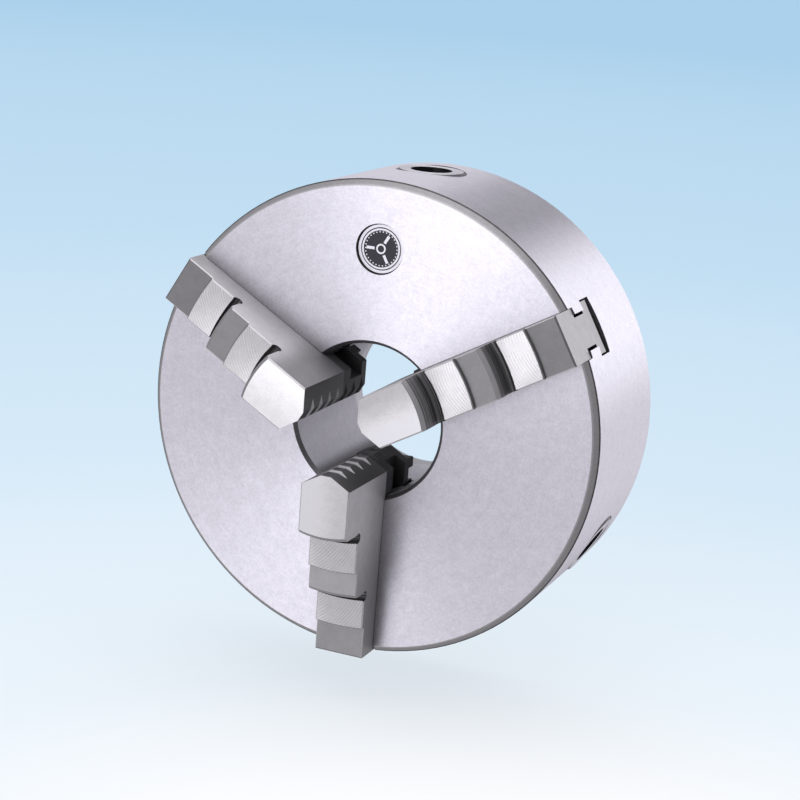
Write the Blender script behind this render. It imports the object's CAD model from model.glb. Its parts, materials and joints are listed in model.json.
"""Looks for the three-jaw scroll chuck: camera, studio, and a procedural material for every part."""

import json
import math

import bmesh
import bpy
from mathutils import Matrix, Vector


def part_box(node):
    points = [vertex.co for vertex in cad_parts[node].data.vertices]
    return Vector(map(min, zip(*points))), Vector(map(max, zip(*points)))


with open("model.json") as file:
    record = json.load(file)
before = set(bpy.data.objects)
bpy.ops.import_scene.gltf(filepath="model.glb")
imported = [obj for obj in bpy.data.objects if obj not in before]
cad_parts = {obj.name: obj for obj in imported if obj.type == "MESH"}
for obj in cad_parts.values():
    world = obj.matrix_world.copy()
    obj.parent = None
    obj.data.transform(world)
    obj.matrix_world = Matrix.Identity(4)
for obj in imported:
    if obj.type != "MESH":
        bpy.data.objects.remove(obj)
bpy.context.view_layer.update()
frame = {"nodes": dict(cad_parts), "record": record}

MM = 0.001

# ---- sizes: metres in the row frame, where the chuck's axis is Y and its front faces -Y ----

BODY_LOW, BODY_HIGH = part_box("chuck_body")
BODY_R = BODY_HIGH.x
BORE_R = 32.5 * MM
FACE_Y = BODY_LOW.y

# The lowest jaw points straight down, so its box gives the sizes of all three
JAW_LOW, JAW_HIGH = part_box("jaw_1")
JAW_HALF_WIDTH = JAW_HIGH.x
JAW_END_U = -JAW_LOW.z
TOP_H = FACE_Y - JAW_LOW.y
JAW_ANGLES = {"jaw_1": 270.0, "jaw_2": 30.0, "jaw_3": 150.0}
JOINTS = {joint["name"]: joint for joint in frame["record"]["behaviour"]["joints"]}
JAW_OUT = JOINTS["jaw_1_slide"]["range_m"][1]
FLOOR_Z = JAW_LOW.z - JAW_OUT  # so that the lowest jaw clears the floor at its outer limit

# The stepped jaw: heights above the face, and the distances from the axis where each level starts and ends
MID_SEAT_H = 24.9 * MM
LOW_SEAT_H = 13.4 * MM
LOW_H = 11.5 * MM
MID_SEAT_U, LOW_SEAT_U = 50.0 * MM, 77.5 * MM
TIP_END_R = 24.0 * MM
TOP_R, MID_R = 42.0 * MM, 69.7 * MM
MID_SEAT_END_R, LOW_SEAT_END_R = 58.6 * MM, 85.8 * MM
CORNER_R = 4.0 * MM

# The pinion's journal and its chamfer, the gap round it, and the round mouth of its key socket
PINION_ANGLES = {"pinion_1": 90.0, "pinion_2": 210.0, "pinion_3": 330.0}
PINION_R = 14.5 * MM
PINION_CHAMFER = 0.8 * MM
PINION_GAP = 0.8 * MM
SOCKET_MOUTH_R = 8.75 * MM
SOCKET_DEEP, SOCKET_SHALLOW = 72.0 * MM, 76.0 * MM

BADGE_LOW, BADGE_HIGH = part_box("badge")
BADGE_CENTRE = (BADGE_LOW + BADGE_HIGH) / 2

# A surface faces a direction when the cosine between them passes from the first value to the second
FACES = (0.90, 0.97)
FACES_AWAY = (-0.90, -0.97)
ALONG_AXIS = (0.0, 1.0, 0.0)
INSIDE_OUT = (0.6, 0.4)  # a step over these turns a mask inside out, with a crisper edge

# Streaks are noise in a space that is drawn out along them: its scale, detail and roughness
STREAK_NOISE = (1.0, 3.0, 0.6)


def directions(angle):
    """Outward at an angle in degrees about the chuck's axis, and square to that across a jaw."""
    c, s = math.cos(math.radians(angle)), math.sin(math.radians(angle))
    return (c, 0.0, s), (-s, 0.0, c)


def middle_y(node):
    low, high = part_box(node)
    return (low.y + high.y) / 2


# ---- shader graph helper ----

class Graph:
    """A node tree, with short calls for the nodes that the materials and the world share."""

    def __init__(self, owner):
        owner.use_nodes = True
        self.tree = owner.node_tree
        self.tree.nodes.clear()

    def node(self, kind, **settings):
        made = self.tree.nodes.new(kind)
        for key, value in settings.items():
            setattr(made, key, value)
        return made

    def feed(self, socket, value):
        """Links a socket, or sets a plain value; None leaves the input as it is."""
        if isinstance(value, bpy.types.NodeSocket):
            self.tree.links.new(value, socket)
        elif value is not None:
            socket.default_value = value

    # Numbers

    def math(self, operation, a, b=None, clamp=False):
        made = self.node("ShaderNodeMath", operation=operation, use_clamp=clamp)
        for socket, value in zip(made.inputs, (a, b)):
            self.feed(socket, value)
        return made.outputs[0]

    def chain(self, operation, values):
        """The operation on the first two values, then on its result and the next, and so on."""
        result = values[0]
        for value in values[1:]:
            result = self.math(operation, result, value)
        return result

    def total(self, *values):
        return self.chain("ADD", values)

    def product(self, *values):
        return self.chain("MULTIPLY", values)

    def largest(self, *values):
        return self.chain("MAXIMUM", values)

    def less(self, value, other):
        return self.math("SUBTRACT", value, other)

    def outside(self, mask):
        return self.math("SUBTRACT", 1.0, mask, clamp=True)

    def size(self, value):
        return self.math("ABSOLUTE", value)

    def step(self, value, low, high):
        """0 at low and before it, 1 at high and past it, smooth between. High may be the lower number."""
        made = self.node("ShaderNodeMapRange", interpolation_type="SMOOTHSTEP")
        self.feed(made.inputs["Value"], value)
        self.feed(made.inputs["From Min"], low)
        self.feed(made.inputs["From Max"], high)
        return made.outputs["Result"]

    def band(self, value, low, high, soft):
        """1 between low and high, fading over soft outside."""
        rise = self.step(value, low - soft, low)
        fall = self.step(value, high, high + soft)
        return self.math("SUBTRACT", rise, fall, clamp=True)

    def mix(self, factor, a, b):
        made = self.node("ShaderNodeMix", data_type="FLOAT")
        self.feed(made.inputs[0], factor)
        self.feed(made.inputs[2], a)
        self.feed(made.inputs[3], b)
        return made.outputs[0]

    # Vectors

    def vector(self, operation, a, b=None):
        made = self.node("ShaderNodeVectorMath", operation=operation)
        self.feed(made.inputs[0], a)
        self.feed(made.inputs[1], b)
        out = "Value" if operation in ("LENGTH", "DISTANCE", "DOT_PRODUCT") else "Vector"
        return made.outputs[out]

    def along(self, vector, direction):
        return self.vector("DOT_PRODUCT", vector, direction)

    def length(self, x=0.0, y=0.0, z=0.0):
        return self.vector("LENGTH", self.join(x, y, z))

    def scaled(self, a, factor):
        made = self.node("ShaderNodeVectorMath", operation="SCALE")
        self.feed(made.inputs[0], a)
        self.feed(made.inputs["Scale"], factor)
        return made.outputs["Vector"]

    def split(self, vector):
        made = self.node("ShaderNodeSeparateXYZ")
        self.feed(made.inputs[0], vector)
        return made.outputs[0], made.outputs[1], made.outputs[2]

    def join(self, x=0.0, y=0.0, z=0.0):
        made = self.node("ShaderNodeCombineXYZ")
        for socket, value in zip(made.inputs, (x, y, z)):
            self.feed(socket, value)
        return made.outputs[0]

    def between(self, factor, a, b):
        """From vector a to vector b. Each is a plain tuple or a socket."""
        parts = [vector if isinstance(vector, tuple) else self.split(vector) for vector in (a, b)]
        return self.join(*[self.mix(factor, start, end) for start, end in zip(*parts)])

    # Colours

    def tint(self, factor, a, b):
        made = self.node("ShaderNodeMix", data_type="RGBA")
        self.feed(made.inputs[0], factor)
        self.feed(made.inputs[6], a)
        self.feed(made.inputs[7], b)
        return made.outputs[2]

    def shade(self, colour, amount):
        """The colour times a number."""
        plain = isinstance(colour, tuple)
        return self.scaled(colour[:3] if plain else colour, amount)

    # Patterns, all as numbers from 0 to 1

    def noise(self, vector, scale, detail=2.0, roughness=0.5):
        made = self.node("ShaderNodeTexNoise")
        self.feed(made.inputs["Vector"], vector)
        made.inputs["Scale"].default_value = scale
        made.inputs["Detail"].default_value = detail
        made.inputs["Roughness"].default_value = roughness
        return made.outputs[0]

    def lines(self, value, per_metre, detail=2.0):
        """Uneven parallel lines across value."""
        made = self.node("ShaderNodeTexNoise", noise_dimensions="1D")
        self.feed(made.inputs["W"], value)
        made.inputs["Scale"].default_value = per_metre
        made.inputs["Detail"].default_value = detail
        return made.outputs[0]

    def swing(self, pattern, amount):
        """The pattern moved to lie about 0, amount from its lowest to its highest."""
        return self.product(self.less(pattern, 0.5), amount)

    def uneven(self, patterns, amounts):
        """1, moved up and down by the swing of each pattern."""
        return self.total(1.0, *[self.swing(*pair) for pair in zip(patterns, amounts)])

    def bump(self, height, distance):
        made = self.node("ShaderNodeBump")
        self.feed(made.inputs["Height"], height)
        made.inputs["Distance"].default_value = distance
        made.inputs["Strength"].default_value = 1.0
        return made.outputs[0]

    # Places and directions on the part

    def place(self):
        """The point on the part at rest, in metres in the row frame, wherever a joint has taken it."""
        return self.node("ShaderNodeTexCoord").outputs["Object"]

    def converted(self, vector, kind, source, target):
        """The vector taken from one space to another."""
        spaces = {"convert_from": source, "convert_to": target}
        made = self.node("ShaderNodeVectorTransform", vector_type=kind, **spaces)
        self.feed(made.inputs[0], vector)
        return made.outputs[0]

    def facing(self):
        """The flat face normal in the part's own rest frame."""
        world = self.node("ShaderNodeNewGeometry").outputs["True Normal"]
        return self.converted(world, "NORMAL", "WORLD", "OBJECT")

    # Shaders

    def surface(self, shader):
        out = self.node("ShaderNodeOutputMaterial")
        self.feed(out.inputs["Surface"], shader.outputs[0])

    def metal(self, colour, roughness, anisotropy, normal, stretch=None):
        """The metal shader. Highlights are drawn out along stretch, which runs across the tool marks."""
        made = self.node("ShaderNodeBsdfPrincipled")
        made.inputs["Metallic"].default_value = 1.0
        made.inputs["Anisotropic"].default_value = anisotropy
        self.feed(made.inputs["Base Color"], colour)
        self.feed(made.inputs["Roughness"], roughness)
        self.feed(made.inputs["Normal"], normal)
        if stretch is not None:
            self.feed(made.inputs["Tangent"], self.converted(stretch, "VECTOR", "OBJECT", "WORLD"))
        self.surface(made)


def rgb(r, g, b):
    return (r, g, b, 1.0)


def new_material(name):
    material = bpy.data.materials.new(name)
    return material, Graph(material)


# ---- parts turned about the chuck's axis ----

class Turned:
    """Places on a part turned about the chuck's axis, and its fine circular tool marks."""

    def __init__(self, g):
        self.g = g
        self.at = g.place()
        self.x, self.y, self.z = g.split(self.at)
        flat = g.join(self.x, 0.0, self.z)
        self.r = g.vector("LENGTH", flat)
        self.out = g.vector("NORMALIZE", flat)
        normal = g.facing()
        self.ny = g.split(normal)[1]
        self.nr = g.along(normal, self.out)
        self.flat_end = g.step(g.size(self.ny), *FACES)
        self.across = g.mix(self.flat_end, self.y, self.r)

    def streaks(self, periods, per_metre):
        """Noise drawn out along the circle: periods round a radian of it, and lines per metre across it."""
        g = self.g
        x, _, z = g.split(g.scaled(self.out, periods))
        return g.noise(g.join(x, g.product(self.across, per_metre), z), *STREAK_NOISE)

    def stretch(self):
        """Across the circular tool marks: outward on a flat end, and along the axis elsewhere."""
        return self.g.between(self.flat_end, ALONG_AXIS, self.out)


# ---- the body ----

IRON = rgb(0.80, 0.785, 0.83)
BORE_IRON = rgb(0.50, 0.49, 0.52)
RIGHT_BORE_IRON = rgb(0.74, 0.73, 0.76)
SLOT_IRON = rgb(0.10, 0.098, 0.10)
CHAMFER_INNER = rgb(0.56, 0.55, 0.55)
CHAMFER_MIDDLE = rgb(0.33, 0.325, 0.32)
CHAMFER_OUTER = rgb(0.07, 0.068, 0.066)
BORE_EDGE_IRON = rgb(0.15, 0.148, 0.15)

# Where each surface of the body begins and is full: depths from the front face, the rear face, the rim or
# the bore
FRONT_SKIN = (1.2 * MM, 0.4 * MM)
REAR_SKIN = (0.4 * MM, 0.0)
RIM_SKIN = (0.8 * MM, 0.4 * MM)
BORE_SKIN = (1.2 * MM, 0.5 * MM)
BORE_EDGE = (3.0 * MM, 2.0 * MM)
CHAMFER = (3.6 * MM, 3.2 * MM)
CHAMFER_ROLL = (3.0 * MM, 1.7 * MM)
CHAMFER_LIP = (0.75 * MM, 0.25 * MM)
SLOPED = (0.40, 0.47)  # the product of the two cosines, 0.5 on a 45 degree slope

# Parts of the bore's wall that differ: it is lighter on the right, and in shade low on the left
BORE_RIGHT = (-6.0 * MM, 12.0 * MM)
BORE_LEFT = (0.0, -4.0 * MM)
BORE_LOW = (-22.5 * MM, -26.5 * MM)
BORE_SHADE = 0.82

# The face is duller beside the jaws: angle of the jaw, its side (1 is the way that angles grow), and how much
# is lost there
JAW_SHADING = (
    (270.0, 1.0, 0.42),
    (150.0, -1.0, 0.36),
    (270.0, -1.0, 0.06),
    (150.0, 1.0, 0.06),
    (30.0, -1.0, 0.08),
    (30.0, 1.0, 0.04),
)
SHADING_REACH = 13.0 * MM
SHADING_FALLOFF = 1.8
SHADING_EDGE = (-1.0 * MM, -0.5 * MM)  # from the jaw's side, to keep the far side of the face clear of it
SHADING_START = (BORE_R - 14.0 * MM, BORE_R + 2.0 * MM)  # along the jaw

# The dark line round each pinion
GAP_LOSS = 0.80
GAP_FULL = 0.6  # share of the gap's width that is full dark
SAME_SIDE = (0.5, 0.6)  # cosines, to keep each pinion's line to its own side of the rim

# Patterns: periods round a radian and lines per metre for streaks; scale, detail and roughness for noise
BODY_FINE, BODY_BROAD = (9.0, 2600.0), (5.0, 420.0)
BODY_MOTTLE = (260.0, 4.0, 0.70)
BODY_GRAIN = (1100.0, 3.0, 0.75)
BODY_UNEVEN = (0.16, 0.07, 0.26, 0.46)  # how much the four patterns above change the colour
BODY_ROUGH, FACE_ROUGH, RIM_ROUGH = 0.48, 0.38, 0.30
BODY_ROUGH_SWING = 0.12
BODY_GRAIN_SHARE = 0.3
BODY_RELIEF = 0.004 * MM
BODY_ANISOTROPY = 0.74


def shading_by_jaws(g, t, face):
    """How much of the face's brightness is kept, less close beside the jaws."""
    kept = 1.0
    for angle, side, loss in JAW_SHADING:
        radial, across = directions(angle)
        towards = tuple(side * part for part in across)
        beside = g.less(g.along(t.at, towards), JAW_HALF_WIDTH)
        fade = g.math("POWER", g.outside(g.math("DIVIDE", beside, SHADING_REACH)), SHADING_FALLOFF)
        on_this_side = g.step(beside, *SHADING_EDGE)
        by_the_jaw = g.step(g.along(t.at, radial), *SHADING_START)
        lost = g.product(fade, on_this_side, by_the_jaw, face, loss)
        kept = g.product(kept, g.less(1.0, lost))
    return kept


def gap_by_pinions(g, t, rim):
    """How much of the rim's brightness is kept, for a dark line round each pinion."""
    kept = 1.0
    for name, angle in PINION_ANGLES.items():
        radial, across = directions(angle)
        from_axis = g.length(g.along(t.at, across), g.less(t.y, middle_y(name)))
        same_side = g.step(g.along(t.out, radial), *SAME_SIDE)
        ring = g.step(from_axis, PINION_R + PINION_GAP, PINION_R + GAP_FULL * PINION_GAP)
        lost = g.product(ring, same_side, rim, GAP_LOSS)
        kept = g.product(kept, g.less(1.0, lost))
    return kept


def body_iron(g, t, face, rear, rim, bore):
    """The colour of each surface of the body, before its grain."""
    from_rim = g.less(BODY_R, t.r)
    from_bore = g.less(t.r, BORE_R)
    sloped = g.step(g.size(g.product(t.ny, t.nr)), *SLOPED)
    chamfer = g.product(sloped, g.step(from_rim, *CHAMFER))
    bore_edge = g.product(sloped, g.step(from_bore, *BORE_EDGE))

    bore_iron = g.tint(g.step(t.x, *BORE_RIGHT), BORE_IRON, RIGHT_BORE_IRON)
    low_left = g.product(g.step(t.x, *BORE_LEFT), g.step(t.z, *BORE_LOW))
    bore_iron = g.tint(g.product(low_left, BORE_SHADE), bore_iron, SLOT_IRON)
    slant = g.tint(g.step(from_rim, *CHAMFER_ROLL), CHAMFER_INNER, CHAMFER_MIDDLE)
    slant = g.tint(g.step(from_rim, *CHAMFER_LIP), slant, CHAMFER_OUTER)

    surfaces = ((face, IRON), (rim, IRON), (rear, IRON), (bore, bore_iron), (chamfer, slant),
                (bore_edge, BORE_EDGE_IRON))
    colour = SLOT_IRON
    for mask, iron in surfaces:
        colour = g.tint(mask, colour, iron)
    colour = g.shade(colour, shading_by_jaws(g, t, face))
    return g.shade(colour, gap_by_pinions(g, t, rim))


def body_material():
    """Finely turned iron: bright face, rim and register, darker chamfer, near-black slots and holes."""
    material, g = new_material("ground_iron")
    t = Turned(g)
    face = g.product(g.step(t.ny, *FACES_AWAY), g.step(g.less(t.y, FACE_Y), *FRONT_SKIN))
    rear = g.product(t.flat_end, g.step(g.less(0.0, t.y), *REAR_SKIN))
    rim = g.product(g.step(t.nr, *FACES), g.step(g.less(BODY_R, t.r), *RIM_SKIN))
    bore = g.product(g.step(t.nr, *FACES_AWAY), g.step(g.less(t.r, BORE_R), *BORE_SKIN))

    fine = t.streaks(*BODY_FINE)
    broad = t.streaks(*BODY_BROAD)
    mottle = g.noise(t.at, *BODY_MOTTLE)
    grain = g.noise(t.at, *BODY_GRAIN)
    uneven = g.uneven((fine, broad, mottle, grain), BODY_UNEVEN)
    colour = g.shade(body_iron(g, t, face, rear, rim, bore), uneven)

    rough = g.mix(g.largest(face, rear), BODY_ROUGH, FACE_ROUGH)
    rough = g.total(g.mix(rim, rough, RIM_ROUGH), g.swing(fine, BODY_ROUGH_SWING))
    height = g.mix(BODY_GRAIN_SHARE, fine, grain)
    g.metal(colour, rough, BODY_ANISOTROPY, g.bump(height, BODY_RELIEF), t.stretch())
    return material


# ---- the jaws ----

JAW_STEEL = rgb(0.78, 0.77, 0.76)

# Each jaw was ground in its own setting. How bright it is: the top at its two edges, the seats, the relieved
# steps, and the sides at the tip and at the outer end, which change between the two radii in side_ends.
# Last, where its arc marks are centred, along and across the jaw from the start of each seat.
JAW_LOOKS = {
    "jaw_1": {
        "top": (1.39, 1.04), "seat": 0.87, "relief": 1.24, "sides": (1.42, 0.90),
        "side_ends": (34.0 * MM, 74.0 * MM), "arc_centre": (-22.0 * MM, -30.0 * MM),
    },
    "jaw_2": {
        "top": (1.47, 0.84), "seat": 0.96, "relief": 0.88, "sides": (1.10, 1.10),
        "side_ends": (34.0 * MM, 74.0 * MM), "arc_centre": (34.0 * MM, 4.0 * MM),
    },
    "jaw_3": {
        "top": (1.14, 0.90), "seat": 0.98, "relief": 0.84, "sides": (0.66, 1.42),
        "side_ends": (30.0 * MM, 45.0 * MM), "arc_centre": (-22.0 * MM, -30.0 * MM),
    },
}

# How the surfaces of a jaw are told apart, by cosines of the way they face
LEVEL_FACES = (-0.96, -0.99)
SIDE_FACES = (0.90, 0.98)
RISER_FACES = (0.60, 0.90)
BEVEL_FACES = (0.20, 0.90, 0.04)
STEP_BEVEL_FACES = (0.30, 0.50)
NOTCH_FACES = (-0.20, -0.50)

# And by place: heights from the face, distances along or across the jaw, and how soft an edge is
LEVEL_SOFT = 0.4 * MM
CORNER_SOFT = 0.2 * MM
TIP_SOFT = 1.0 * MM
TOP_EDGES = (-9.0 * MM, 9.0 * MM)
SIDE_HEIGHTS = (2.0 * MM, 24.0 * MM)
LOW_RELIEF_HEIGHTS = (LOW_H + 4.0 * MM, LOW_H + 2.0 * MM)
BURIED_HEIGHTS = (-0.2 * MM, -1.0 * MM)
OUTER_END_PLACE = (JAW_END_U - 1.0 * MM, JAW_END_U - 0.5 * MM)
OUTER_BEVEL_PLACE = (JAW_END_U - 3.0 * MM, JAW_END_U - 2.0 * MM)
SEAT_END_WIDTH, SEAT_END_SOFT = 0.45 * MM, 0.2 * MM

# How bright each kind of surface is on every jaw
RELIEF_MID, RELIEF_LOW = 0.50, 0.40
SIDE_FOOT, SIDE_HEAD = 0.36, 0.52
BEVEL, STEP_BEVEL, OUTER_BEVEL = 0.72, 0.50, 0.24
RISER, OUTER_END = 0.26, 0.80
SEAT_END_LINE, GROOVE = 0.20, 0.18
TIP_WALL, TIP_NOTCH = 0.20, 0.62
BURIED, DARKEST = 0.10, 0.03

# Patterns: scale, detail and roughness for noise, lines per metre and detail for lines
JAW_GRAIN = (2100.0, 2.0, 0.6)
JAW_MOTTLE = (240.0, 4.0, 0.6)
SIDE_LINES = (1900.0, 3.0)
CORNER_RIDGES = (1300.0, 2.0)
FINE_ARCS = (5200.0, 2.0)
ARC_PITCH = 1.15 * MM
ARC_WANDER = 0.9 * MM
WANDER_SCALE, PATCH_SCALE = 110.0, 170.0
PATCH_EDGE = (0.30, 0.62)
GRAIN_SWING, MOTTLE_SWING, LINE_SWING, RIDGE_SWING = 0.30, 0.24, 0.25, 0.9
ARC_DEPTH = 0.13
JAW_ROUGH, GROUND_ROUGH = 0.46, 0.36
JAW_ROUGH_SWING = 0.10
ARC_RELIEF, PLAIN_RELIEF = 0.5, 0.5  # shares of JAW_RELIEF
JAW_RELIEF = 0.008 * MM
JAW_ANISOTROPY = 0.82

# The highlights on a seat are drawn out away from a point, this far inward of its start and across the jaw
LAY_IN, LAY_ACROSS = 13.0 * MM, 14.0 * MM


class Jaw:
    """Places on one jaw: u along it, v across it, h up from the face, r from the axis; and its surfaces."""

    def __init__(self, g, angle):
        self.g = g
        self.radial, self.across = directions(angle)
        self.at = g.place()
        x, y, z = g.split(self.at)
        self.u = g.along(self.at, self.radial)
        self.v = g.along(self.at, self.across)
        self.r = g.length(x, 0.0, z)
        self.h = g.less(FACE_Y, y)
        normal = g.facing()
        self.nu = g.along(normal, self.radial)
        self.nv = g.along(normal, self.across)
        self.ny = g.split(normal)[1]
        self.find_levels()
        self.find_walls()
        self.groove = self.inner_corners()

    def find_levels(self):
        """The surfaces that face forward: ground top and seats, and the relieved steps between them."""
        g = self.g
        near = LEVEL_SOFT
        self.level = g.step(self.ny, *LEVEL_FACES)
        self.top = g.product(self.level, g.step(self.h, TOP_H - 2 * near, TOP_H - near))
        mid_seat = g.product(self.level, g.band(self.h, MID_SEAT_H - near, MID_SEAT_H + near, near))
        self.low_seat = g.product(self.level, g.band(self.h, LOW_SEAT_H - near, LOW_SEAT_H + near, near))
        self.seat = g.largest(mid_seat, self.low_seat)
        self.ground = g.largest(self.seat, self.top)
        self.relief = g.math("SUBTRACT", self.level, self.ground, clamp=True)

    def find_walls(self):
        """The sides, the tip, the risers between levels, the outer end and the bevels."""
        g = self.g
        self.side = g.step(g.size(self.nv), *SIDE_FACES)
        near_tip = g.step(self.r, TIP_END_R + TIP_SOFT, TIP_END_R)
        self.tip = g.product(near_tip, g.step(self.side, *INSIDE_OUT))
        self.riser = g.step(self.nu, *RISER_FACES)
        self.end = g.product(self.riser, g.step(self.u, *OUTER_END_PLACE))
        self.bevel = g.band(g.size(self.ny), *BEVEL_FACES)
        self.step_bevel = g.product(self.bevel, g.step(self.nu, *STEP_BEVEL_FACES))

    def inner_corners(self):
        """Close to the foot of a riser, apart from the sides and the ground surfaces."""
        g = self.g
        near_corners = []
        for corner_r, corner_h in ((TOP_R, MID_SEAT_H), (MID_R, LOW_SEAT_H)):
            distance = g.length(g.less(self.r, corner_r), g.less(self.h, corner_h))
            near_corners.append(g.step(distance, CORNER_R + CORNER_SOFT, CORNER_R - CORNER_SOFT))
        return g.product(g.largest(*near_corners), g.outside(g.largest(self.side, self.ground)))


def jaw_tone(g, jaw, look):
    """How bright each surface of the jaw is, before its grain."""
    top_tone = g.mix(g.step(jaw.v, *TOP_EDGES), *look["top"])
    tone = g.mix(jaw.top, look["seat"], top_tone)
    low_relief = g.step(jaw.h, *LOW_RELIEF_HEIGHTS)
    relief_tone = g.mix(low_relief, RELIEF_MID * look["relief"], RELIEF_LOW * look["relief"])
    tone = g.mix(jaw.relief, tone, relief_tone)
    for seat_end_r in (MID_SEAT_END_R, LOW_SEAT_END_R):
        dark_line = g.band(jaw.r, seat_end_r, seat_end_r + SEAT_END_WIDTH, SEAT_END_SOFT)
        tone = g.mix(g.product(jaw.relief, dark_line), tone, SEAT_END_LINE)

    side_look = g.mix(g.step(jaw.u, *look["side_ends"]), *look["sides"])
    side_tone = g.product(g.mix(g.step(jaw.h, *SIDE_HEIGHTS), SIDE_FOOT, SIDE_HEAD), side_look)
    outer_bevel = g.product(jaw.step_bevel, g.step(jaw.u, *OUTER_BEVEL_PLACE))
    surfaces = ((jaw.bevel, BEVEL), (jaw.step_bevel, STEP_BEVEL), (jaw.side, side_tone), (jaw.riser, RISER),
                (jaw.end, OUTER_END), (outer_bevel, OUTER_BEVEL), (jaw.groove, GROOVE))
    for mask, surface_tone in surfaces:
        tone = g.mix(mask, tone, surface_tone)

    notch = g.step(jaw.ny, *NOTCH_FACES)
    tip_tone = g.mix(jaw.level, g.mix(notch, TIP_WALL, TIP_NOTCH), tone)
    tone = g.mix(jaw.tip, tone, tip_tone)
    buried = g.product(g.step(jaw.h, *BURIED_HEIGHTS), g.step(jaw.end, *INSIDE_OUT))
    return g.mix(buried, tone, BURIED)


def ridged_corners(g, jaw, tone):
    """The tone with the tool's ridges in the risers and the inner corners."""
    ridges = g.lines(g.total(jaw.h, jaw.r), *CORNER_RIDGES)
    dark_corner = g.largest(g.math("SUBTRACT", jaw.riser, jaw.end, clamp=True), jaw.groove)
    return g.largest(g.total(tone, g.product(g.swing(ridges, RIDGE_SWING), dark_corner)), DARKEST)


def from_arc_centre(g, jaw, seat_u, centre):
    """How far a point is from the centre of the arcs that the wheel left on its seat."""
    along, across = centre
    return g.length(g.less(g.less(jaw.u, seat_u), along), g.less(jaw.v, across))


def arc_marks(g, jaw, mark_r):
    """Uneven arcs on the seats, from -1 to 1."""
    wander = g.product(g.noise(jaw.at, WANDER_SCALE), ARC_WANDER)
    wave = g.math("SINE", g.product(g.total(mark_r, wander), 2 * math.pi / ARC_PITCH))
    patch = g.step(g.noise(jaw.at, PATCH_SCALE), *PATCH_EDGE)
    return g.product(wave, patch, jaw.seat)


def jaw_stretch(g, jaw, seat_u):
    """Outward from the lay's centre on a seat, across the jaw on the top, and along the axis elsewhere."""
    du = g.less(jaw.u, g.less(seat_u, LAY_IN))
    dv = g.total(jaw.v, LAY_ACROSS)
    lay_r = g.length(du, dv)
    from_centre = g.vector("ADD", g.scaled(jaw.radial, g.math("DIVIDE", du, lay_r)),
                           g.scaled(jaw.across, g.math("DIVIDE", dv, lay_r)))
    on_ground = g.between(jaw.top, from_centre, jaw.across)
    return g.between(jaw.ground, ALONG_AXIS, on_ground)


def jaw_material(name, angle):
    """Hardened steel: ground top and seats with arc marks, duller relieved steps, dark risers and corners."""
    material, g = new_material("jaw_steel_" + name)
    look = JAW_LOOKS[name]
    jaw = Jaw(g, angle)
    seat_u = g.mix(jaw.low_seat, MID_SEAT_U, LOW_SEAT_U)
    mark_r = from_arc_centre(g, jaw, seat_u, look["arc_centre"])
    arcs = arc_marks(g, jaw, mark_r)
    fine_arcs = g.lines(g.mix(jaw.top, mark_r, jaw.v), *FINE_ARCS)
    grain = g.noise(jaw.at, *JAW_GRAIN)
    mottle = g.noise(jaw.at, *JAW_MOTTLE)
    side_lines = g.lines(jaw.h, *SIDE_LINES)
    walls = g.outside(jaw.level)

    uneven = g.uneven((grain, mottle), (GRAIN_SWING, MOTTLE_SWING))
    lined = g.product(g.swing(side_lines, LINE_SWING), walls)
    uneven = g.total(uneven, lined, g.product(arcs, ARC_DEPTH))
    tone = ridged_corners(g, jaw, jaw_tone(g, jaw, look))
    colour = g.shade(JAW_STEEL, g.product(tone, uneven))

    rough = g.total(g.mix(jaw.ground, JAW_ROUGH, GROUND_ROUGH), g.swing(grain, JAW_ROUGH_SWING))
    arc_height = g.product(g.total(g.product(arcs, ARC_RELIEF), fine_arcs), jaw.ground)
    plain_height = g.product(g.total(grain, g.product(side_lines, walls)), PLAIN_RELIEF)
    height = g.mix(jaw.ground, plain_height, arc_height)
    g.metal(colour, rough, JAW_ANISOTROPY, g.bump(height, JAW_RELIEF), jaw_stretch(g, jaw, seat_u))
    return material


# ---- scroll plate, rear cover, pinions and screws ----

SCROLL_STEEL, SCROLL_ROUGH = rgb(0.36, 0.355, 0.37), 0.40
COVER_IRON, COVER_ROUGH = rgb(0.50, 0.495, 0.51), 0.46
PINION_STEEL = rgb(0.80, 0.79, 0.82)
PINION_LIP = rgb(0.16, 0.155, 0.16)
SOCKET_DARK = rgb(0.03, 0.03, 0.032)
OXIDE_DARK, OXIDE_WORN = rgb(0.045, 0.045, 0.050), rgb(0.12, 0.115, 0.115)
OXIDE_WEAR = (0.35, 0.75)

# Patterns, as for the body and the jaws
TURNED_FINE = (8.0, 2400.0)
TURNED_RINGS = (620.0, 3.0)
TURNED_MOTTLE = (260.0, 4.0, 0.6)
TURNED_UNEVEN = (0.14, 0.40, 0.34)  # of mottle, fine streaks and rings
PINION_FINE = (6.0, 2200.0)
PINION_MOTTLE = (300.0, 4.0, 0.6)
PINION_UNEVEN = (0.14, 0.22)  # of mottle and fine streaks
OXIDE_MOTTLE = (420.0, 4.0, 0.65)
OXIDE_GRAIN = (2600.0, 2.0, 0.5)
MOTTLED_LEVEL = 0.97  # mean brightness of the mottled steel
STEEL_RELIEF = 0.006 * MM
TURNED_ANISOTROPY, PINION_ANISOTROPY = 0.3, 0.5
TURNED_ROUGH_SWING = 0.14
PINION_ROUGH, OXIDE_ROUGH = (0.34, 0.48), (0.36, 0.56)  # in the lows and the highs of their patterns

# Edges of the pinion's dark socket and lip: past the socket's mouth, about the chamfer, and in from the rim
MOUTH_EDGE = (SOCKET_MOUTH_R + 0.35 * MM, SOCKET_MOUTH_R + 0.05 * MM)
LIP_SOFT = 0.1 * MM
LIP_PLACE = (BODY_R - 2.0 * MM, BODY_R - 1.4 * MM)


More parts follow.
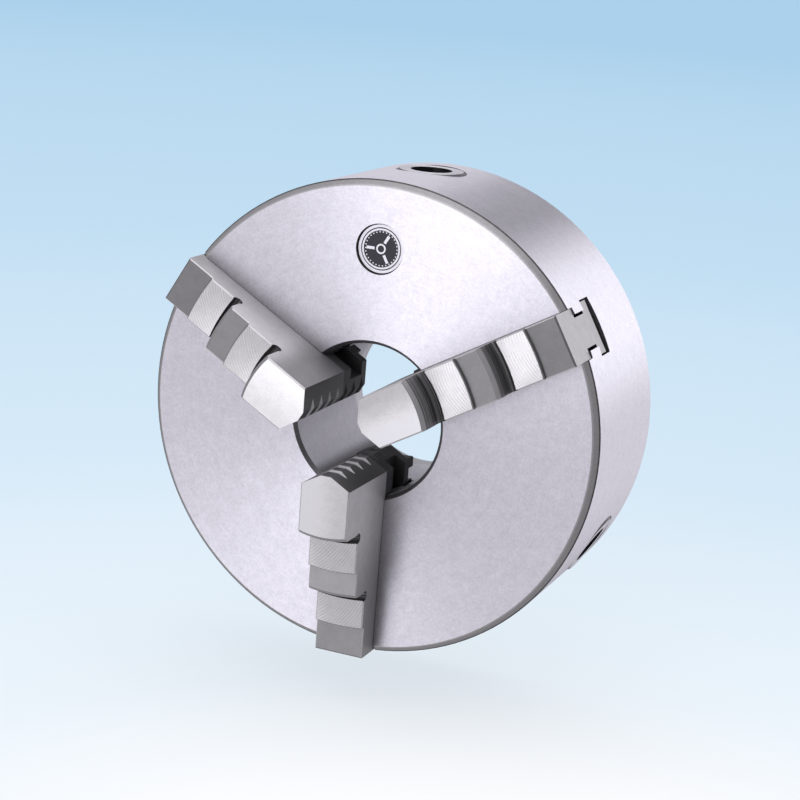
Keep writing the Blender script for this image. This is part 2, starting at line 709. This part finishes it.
def turned_material(name, colour, roughness):
    """A turned part about the chuck's axis, such as the scroll plate and the rear cover."""
    material, g = new_material(name)
    t = Turned(g)
    fine = t.streaks(*TURNED_FINE)
    rings = g.lines(t.across, *TURNED_RINGS)
    mottle = g.noise(t.at, *TURNED_MOTTLE)
    level = g.less(g.uneven((mottle, fine, rings), TURNED_UNEVEN), 1.0 - MOTTLED_LEVEL)
    rough = g.total(roughness, g.swing(fine, TURNED_ROUGH_SWING))
    g.metal(g.shade(colour, level), rough, TURNED_ANISOTROPY, g.bump(fine, STEEL_RELIEF), t.stretch())
    return material


def pinion_material(name, angle):
    """Turned and ground about the pinion's own radial axis, dark inside the socket."""
    material, g = new_material("pinion_steel_" + name)
    axis, _ = directions(angle)
    at = g.place()
    along = g.along(at, axis)
    from_centre = g.vector("SUBTRACT", at, (0.0, middle_y(name), 0.0))
    from_axis = g.vector("SUBTRACT", from_centre, g.scaled(axis, along))
    r = g.vector("LENGTH", from_axis)
    out = g.vector("NORMALIZE", from_axis)
    flat_end = g.step(g.size(g.along(g.facing(), axis)), *FACES)
    across = g.mix(flat_end, along, r)

    periods, per_metre = PINION_FINE
    streaked = g.vector("ADD", g.scaled(out, periods), g.scaled(axis, g.product(across, per_metre)))
    fine = g.noise(streaked, *STREAK_NOISE)
    mottle = g.noise(at, *PINION_MOTTLE)
    inside = g.product(g.step(r, *MOUTH_EDGE), g.step(along, SOCKET_DEEP, SOCKET_SHALLOW))
    chamfer_r = PINION_R - PINION_CHAMFER
    lip = g.product(g.step(r, chamfer_r - LIP_SOFT, chamfer_r + LIP_SOFT), g.step(along, *LIP_PLACE))
    colour = g.tint(inside, g.tint(lip, PINION_STEEL, PINION_LIP), SOCKET_DARK)
    level = g.less(g.uneven((mottle, fine), PINION_UNEVEN), 1.0 - MOTTLED_LEVEL)
    rough = g.mix(fine, *PINION_ROUGH)
    stretch = g.between(flat_end, axis, out)
    g.metal(g.shade(colour, level), rough, PINION_ANISOTROPY, g.bump(fine, STEEL_RELIEF), stretch)
    return material


def screw_material():
    """Black oxide, worn a little lighter in patches."""
    material, g = new_material("black_oxide")
    at = g.place()
    mottle = g.noise(at, *OXIDE_MOTTLE)
    grain = g.noise(at, *OXIDE_GRAIN)
    colour = g.tint(g.step(mottle, *OXIDE_WEAR), OXIDE_DARK, OXIDE_WORN)
    g.metal(colour, g.mix(grain, *OXIDE_ROUGH), 0.0, g.bump(grain, STEEL_RELIEF))
    return material


# ---- the badge ----

BADGE_METAL = rgb(0.86, 0.85, 0.88)
BADGE_ENAMEL = rgb(0.018, 0.018, 0.024)
BADGE_RAISED = (0.16 * MM, 0.06 * MM)  # depths below its front where the bright metal begins and is full
BADGE_TICKS = 30.0
TICK_WAVE = (0.30, 0.60)
TICK_RING = (6.75 * MM, 7.15 * MM, 0.08 * MM)  # radii, and how soft its edges are
BADGE_MOTTLE, BADGE_GRAIN = (600.0, 3.0, 0.6), (2200.0, 2.0, 0.5)
METAL_LEVELS, ENAMEL_LEVELS = (0.9, 1.04), (0.8, 1.3)  # in the lows and the highs of the mottle
ENAMEL_ROUGH, METAL_ROUGH, ROUGH_BY_GRAIN = 0.28, 0.30, 0.12
BADGE_RELIEF = 0.004 * MM


def badge_material():
    """Black enamel with a bright raised rim, emblem and a ring of plain ticks."""
    material, g = new_material("badge_enamel")
    at = g.place()
    x, y, z = g.split(at)
    across, up = g.less(x, BADGE_CENTRE.x), g.less(z, BADGE_CENTRE.z)
    r = g.length(across, 0.0, up)
    tick = g.step(g.math("SINE", g.product(g.math("ARCTAN2", up, across), BADGE_TICKS)), *TICK_WAVE)
    ticks = g.product(tick, g.band(r, *TICK_RING))
    bright_metal = g.largest(g.step(g.less(y, BADGE_LOW.y), *BADGE_RAISED), ticks)

    mottle = g.noise(at, *BADGE_MOTTLE)
    grain = g.noise(at, *BADGE_GRAIN)
    metal = g.shade(BADGE_METAL, g.mix(mottle, *METAL_LEVELS))
    enamel = g.shade(BADGE_ENAMEL, g.mix(mottle, *ENAMEL_LEVELS))
    rough = g.total(g.mix(bright_metal, ENAMEL_ROUGH, METAL_ROUGH), g.product(grain, ROUGH_BY_GRAIN))
    made = g.node("ShaderNodeBsdfPrincipled")
    g.feed(made.inputs["Base Color"], g.tint(bright_metal, enamel, metal))
    g.feed(made.inputs["Metallic"], bright_metal)
    g.feed(made.inputs["Roughness"], rough)
    g.feed(made.inputs["Normal"], g.bump(grain, BADGE_RELIEF))
    g.surface(made)
    return material


# ---- every part gets its material ----

def paint(node, material):
    slots = frame["nodes"][node].data.materials
    slots.clear()
    slots.append(material)


def paint_parts():
    paint("chuck_body", body_material())
    paint("scroll_plate", turned_material("scroll_steel", SCROLL_STEEL, SCROLL_ROUGH))
    paint("rear_cover", turned_material("cover_iron", COVER_IRON, COVER_ROUGH))
    paint("badge", badge_material())
    for name, angle in JAW_ANGLES.items():
        paint(name, jaw_material(name, angle))
    for name, angle in PINION_ANGLES.items():
        paint(name, pinion_material(name, angle))
    black = screw_material()
    for name in frame["nodes"]:
        if "screw" in name:
            paint(name, black)


# ---- studio ----

# The camera, found by fitting the ellipses of the rim, face and bore: degrees, metres from the middle of the
# face, and millimetres of lens
CAMERA_AZIMUTH, CAMERA_ELEVATION, CAMERA_ROLL = 21.829, 14.117, 4.624
CAMERA_DISTANCE = 0.820444
CAMERA_SIDE, CAMERA_RISE = 0.013884, 0.008724
CAMERA_LENS, SENSOR_WIDTH = 89.39, 36.0
CLIP_NEAR, CLIP_FAR = 0.01, 100.0


def make_camera():
    """The camera at the photograph's viewing angle. Returns the direction from the chuck towards it."""
    a, e = math.radians(CAMERA_AZIMUTH), math.radians(CAMERA_ELEVATION)
    back = Vector((math.sin(a) * math.cos(e), -math.cos(a) * math.cos(e), math.sin(e)))
    level_right = (-back).cross(Vector((0.0, 0.0, 1.0))).normalized()
    level_up = level_right.cross(-back)
    roll = math.radians(CAMERA_ROLL)
    right = level_right * math.cos(roll) + level_up * math.sin(roll)
    up = level_up * math.cos(roll) - level_right * math.sin(roll)
    data = bpy.data.cameras.new("camera")
    data.lens = CAMERA_LENS
    data.sensor_width = SENSOR_WIDTH
    data.clip_start = CLIP_NEAR
    data.clip_end = CLIP_FAR
    camera = bpy.data.objects.new("camera", data)
    bpy.context.scene.collection.objects.link(camera)
    spot = Vector((0.0, FACE_Y, 0.0)) + back * CAMERA_DISTANCE + right * CAMERA_SIDE + up * CAMERA_RISE
    camera.matrix_world = Matrix.Translation(spot) @ Matrix((right, up, back)).transposed().to_4x4()
    bpy.context.scene.camera = camera
    return back


FLOOR_R, FLOOR_SEGMENTS = 14.0, 96
FLOOR_GLOW = 0.70  # share of the floor's brightness that is its own
FLOOR_BRIGHT_NEAR, FLOOR_BRIGHT_ASIDE = 0.25, 0.07  # centre of the pale patch, from the chuck
FLOOR_BALANCE = (1.03, 1.05, 0.98)
FLOOR_FADE = 5.0  # distance over which the floor's colours change

# The floor's colour by distance from the centre of the pale patch, as a share of FLOOR_FADE
FLOOR_COLOURS = (
    (0.00, rgb(1.0, 0.985, 0.99)),
    (0.03, rgb(0.99, 0.98, 0.985)),
    (0.06, rgb(0.82, 0.89, 0.95)),
    (0.13, rgb(0.651, 0.791, 0.905)),
    (0.30, rgb(0.515, 0.701, 0.855)),
    (1.00, rgb(0.392, 0.611, 0.799)),
)


def floor_material(centre):
    """Near white by the object and pale blue far off."""
    material, g = new_material("studio_floor")
    x, y, _ = g.split(g.node("ShaderNodeNewGeometry").outputs["Position"])
    away = g.vector("DISTANCE", g.join(x, y, 0.0), centre)
    ramp = g.node("ShaderNodeValToRGB")
    while len(ramp.color_ramp.elements) < len(FLOOR_COLOURS):
        ramp.color_ramp.elements.new(0.5)
    for element, (share, colour) in zip(ramp.color_ramp.elements, FLOOR_COLOURS):
        element.position = share
        element.color = colour
    g.feed(ramp.inputs[0], g.math("DIVIDE", away, FLOOR_FADE))
    balanced = g.vector("MULTIPLY", ramp.outputs[0], FLOOR_BALANCE)
    made = g.node("ShaderNodeBsdfPrincipled")
    g.feed(made.inputs["Base Color"], g.shade(balanced, 1.0 - FLOOR_GLOW))
    g.feed(made.inputs["Emission Color"], ramp.outputs[0])
    made.inputs["Roughness"].default_value = 1.0
    made.inputs["Specular IOR Level"].default_value = 0.0
    made.inputs["Emission Strength"].default_value = FLOOR_GLOW
    g.surface(made)
    return material


def make_floor(towards_camera):
    mesh = bpy.data.meshes.new("studio_floor")
    bm = bmesh.new()
    bmesh.ops.create_circle(bm, cap_ends=True, segments=FLOOR_SEGMENTS, radius=FLOOR_R)
    bm.to_mesh(mesh)
    bm.free()
    floor = bpy.data.objects.new("studio_floor", mesh)
    floor.location.z = FLOOR_Z
    bpy.context.scene.collection.objects.link(floor)
    towards = Vector((towards_camera.x, towards_camera.y, 0.0)).normalized()
    aside = Vector((-towards.y, towards.x, 0.0))
    centre = Vector((0.0, FACE_Y, 0.0)) + towards * FLOOR_BRIGHT_NEAR + aside * FLOOR_BRIGHT_ASIDE
    mesh.materials.append(floor_material(tuple(centre)))
    floor.visible_glossy = False


# Each soft light: direction from the chuck, half angles where it starts and is full, and its level
SOFT_LIGHTS = [
    ((-0.20, -0.95, 0.225), 25.0, 6.0, 3.45),
    ((0.345, 0.90, 0.225), 24.0, 6.0, 1.02),
    ((0.36, 0.90, -0.20), 34.0, 10.0, 0.30),
    ((-0.83, -0.03, 0.56), 35.0, 10.0, 0.50),
    ((0.0, -0.10, 1.0), 50.0, 15.0, 1.6),
]
# Dark areas that give the metal its contrast: direction, the same two half angles, and the share taken away
DARK_PATCHES = [
    ((0.36, -0.90, 0.24), 18.0, 5.0, 0.85),
    ((-0.30, 0.90, -0.31), 26.0, 8.0, 0.75),
    ((-0.02, 0.90, 0.43), 18.0, 4.0, 0.85),
    ((0.90, -0.36, -0.24), 40.0, 12.0, 0.20),
]
AMBIENT = rgb(0.655, 0.645, 0.695)
HORIZON = rgb(0.392, 0.611, 0.799)


def make_world():
    """A studio painted on the sky: even surround, soft lights, dark patches; pale blue to the camera."""
    world = bpy.data.worlds.new("studio")
    bpy.context.scene.world = world
    g = Graph(world)
    look = g.vector("NORMALIZE", g.node("ShaderNodeTexCoord").outputs["Generated"])

    def patch(direction, outer, inner):
        near = g.along(look, tuple(Vector(direction).normalized()))
        return g.step(near, math.cos(math.radians(outer)), math.cos(math.radians(inner)))

    level = 1.0
    for direction, outer, inner, amount in DARK_PATCHES:
        level = g.product(level, g.less(1.0, g.product(patch(direction, outer, inner), amount)))
    for direction, outer, inner, amount in SOFT_LIGHTS:
        level = g.total(level, g.product(patch(direction, outer, inner), amount))
    seen = g.node("ShaderNodeLightPath").outputs["Is Camera Ray"]
    background = g.node("ShaderNodeBackground")
    g.feed(background.inputs["Color"], g.tint(seen, g.shade(AMBIENT, level), HORIZON))
    out = g.node("ShaderNodeOutputWorld")
    g.feed(out.inputs["Surface"], background.outputs[0])


make_floor(make_camera())
make_world()
paint_parts()
bpy.context.scene.view_settings.view_transform = "Standard"
